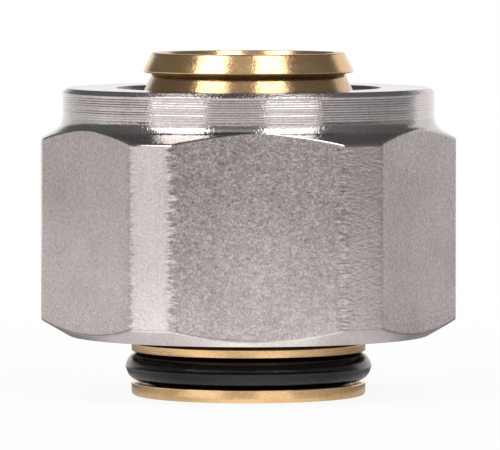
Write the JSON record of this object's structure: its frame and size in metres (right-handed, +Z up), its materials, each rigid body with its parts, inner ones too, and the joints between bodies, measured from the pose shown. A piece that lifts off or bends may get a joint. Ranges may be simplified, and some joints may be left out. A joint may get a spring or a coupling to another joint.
{
  "type": "manifold adapter",
  "caption": "Hexagonal union nut with a coved round collar, loose over a brass insert with a barbed pipe tail and a sealed spigot; joins a heating pipe to a manifold outlet.",
  "frame": {"origin": "centre of the spigot's end face, the lowest face of the part", "axes": "+Z up the pipe's axis from the spigot towards the barbed tail; one flat of the nut faces -Y"},
  "size_m": [0.0328, 0.03, 0.027],
  "materials": {
    "turned_brass": "satin",
    "nickel_plate": "satin",
    "black_rubber": "satin",
    "white_plastic": "matte"
  },
  "bodies": {
    "insert": {"pipe_insert": "turned_brass", "cone_seal": "black_rubber", "tail_seal_lower": "black_rubber", "tail_seal_upper": "black_rubber", "insulating_washer": "white_plastic"},
    "clamp_ring": {"clamp_ring": "turned_brass"},
    "nut": {"union_nut": "nickel_plate"}
  },
  "joints": [
    {"name": "draw_off", "type": "slide", "parent": "insert", "child": "clamp_ring", "axis": [0, 0, 1], "range_m": [0, 0.024]},
    {"name": "nut_spin", "type": "hinge", "parent": "clamp_ring", "child": "nut", "pos_m": [0, 0, 0.0145], "axis": [0, 0, 1], "continuous": true}
  ]
}
